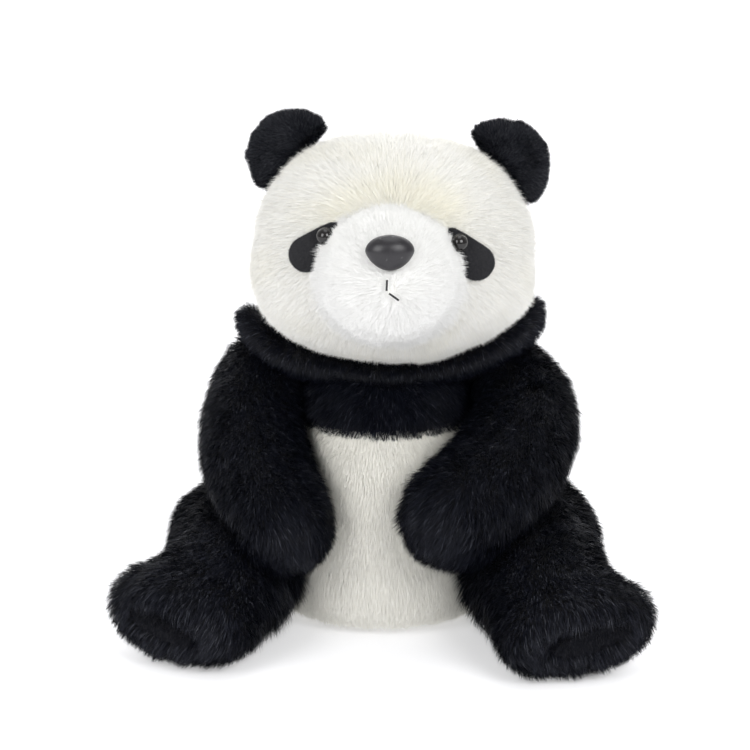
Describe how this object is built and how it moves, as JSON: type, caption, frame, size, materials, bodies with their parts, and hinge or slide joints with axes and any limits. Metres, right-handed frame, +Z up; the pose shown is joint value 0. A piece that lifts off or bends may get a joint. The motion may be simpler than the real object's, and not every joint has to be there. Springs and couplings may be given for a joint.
{
  "type": "plush panda",
  "caption": "Seated plush panda with sewn long-pile covers, stuffed head, limbs and ears, plastic eyes and nose, and a weighted flat seat.",
  "frame": {"origin": "centre of the flat seat, on the surface the panda sits on", "axes": "+Z up, the face looks towards -Y, +X is the right side of a person facing the panda"},
  "size_m": [0.3107, 0.2532, 0.3054],
  "materials": {
    "white_plush": "long soft pile",
    "muzzle_plush": "long soft pile",
    "belly_plush": "long soft pile",
    "black_plush": "long soft pile",
    "sole_plush": "short dense pile",
    "black_felt": "short felt",
    "eye_plastic": "polished dark dome",
    "nose_plastic": "satin with a fine grain",
    "washer_plastic": "moulded natural plastic",
    "black_thread": "twisted thread",
    "white_thread": "twisted thread",
    "fibrefill": "loose polyester fibre",
    "bag_cloth": "woven cotton",
    "pellets": "rounded plastic pellets"
  },
  "bodies": {
    "torso": {"chest_panel": "black_plush", "shoulder_back_panel": "black_plush", "belly_panel": "belly_plush", "back_panel": "belly_plush", "seat_panel": "belly_plush", "torso_stuffing": "fibrefill", "pellet_bag": "bag_cloth", "pellets": "pellets", "closing_stitches": "white_thread"},
    "tail": {"tail_cover": "belly_plush", "tail_stuffing": "fibrefill"},
    "neck": {"neck_stuffing": "fibrefill"},
    "head": {"head_front_cover": "white_plush", "head_back_cover": "white_plush", "head_stuffing": "fibrefill", "muzzle_cover": "muzzle_plush", "muzzle_stuffing": "fibrefill", "eye_patch_left": "black_felt", "eye_patch_right": "black_felt", "eye_left": "eye_plastic", "eye_right": "eye_plastic", "eye_washer_left": "washer_plastic", "eye_washer_right": "washer_plastic", "nose": "nose_plastic", "nose_washer": "washer_plastic", "mouth_stitches": "black_thread"},
    "ear_left": {"ear_left_front": "black_plush", "ear_left_back": "black_plush"},
    "ear_right": {"ear_right_front": "black_plush", "ear_right_back": "black_plush"},
    "arm_left": {"arm_left_cover": "black_plush", "arm_left_stuffing": "fibrefill"},
    "arm_right": {"arm_right_cover": "black_plush", "arm_right_stuffing": "fibrefill"},
    "leg_left": {"leg_left_cover": "black_plush", "leg_left_stuffing": "fibrefill", "sole_left": "sole_plush"},
    "leg_right": {"leg_right_cover": "black_plush", "leg_right_stuffing": "fibrefill", "sole_right": "sole_plush"}
  },
  "joints": [
    {"name": "head_turn", "type": "hinge", "parent": "torso", "child": "neck", "pos_m": [0.003, 0.006, 0.198], "axis": [0, 0, 1], "range_deg": [-15, 15]},
    {"name": "head_nod", "type": "hinge", "parent": "neck", "child": "head", "pos_m": [0.003, 0.006, 0.198], "axis": [1, 0, 0], "range_deg": [-10, 6]},
    {"name": "arm_left_raise", "type": "hinge", "parent": "torso", "child": "arm_left", "pos_m": [-0.073, 0.015, 0.144], "axis": [-0.867, 0, -0.4983], "range_deg": [0, 38]},
    {"name": "arm_right_raise", "type": "hinge", "parent": "torso", "child": "arm_right", "pos_m": [0.075, 0.015, 0.142], "axis": [-0.867, 0, 0.4983], "range_deg": [0, 38]},
    {"name": "leg_left_spread", "type": "hinge", "parent": "torso", "child": "leg_left", "pos_m": [-0.088, -0.016, 0.047], "axis": [0, 0, -1], "range_deg": [0, 25]},
    {"name": "leg_right_spread", "type": "hinge", "parent": "torso", "child": "leg_right", "pos_m": [0.089, -0.016, 0.048], "axis": [0, 0, 1], "range_deg": [0, 25]},
    {"name": "ear_left_flex", "type": "hinge", "parent": "head", "child": "ear_left", "pos_m": [-0.056, -0.012, 0.277], "axis": [0.6392, 0, 0.769], "range_deg": [-15, 15], "stiffness_Nm_per_rad": 0.08},
    {"name": "ear_right_flex", "type": "hinge", "parent": "head", "child": "ear_right", "pos_m": [0.066, -0.012, 0.272], "axis": [0.6392, 0, -0.769], "range_deg": [-15, 15], "stiffness_Nm_per_rad": 0.08},
    {"name": "tail_flex", "type": "hinge", "parent": "torso", "child": "tail", "pos_m": [0, 0.084, 0.03], "axis": [1, 0, 0], "range_deg": [-10, 20], "stiffness_Nm_per_rad": 0.06}
  ]
}
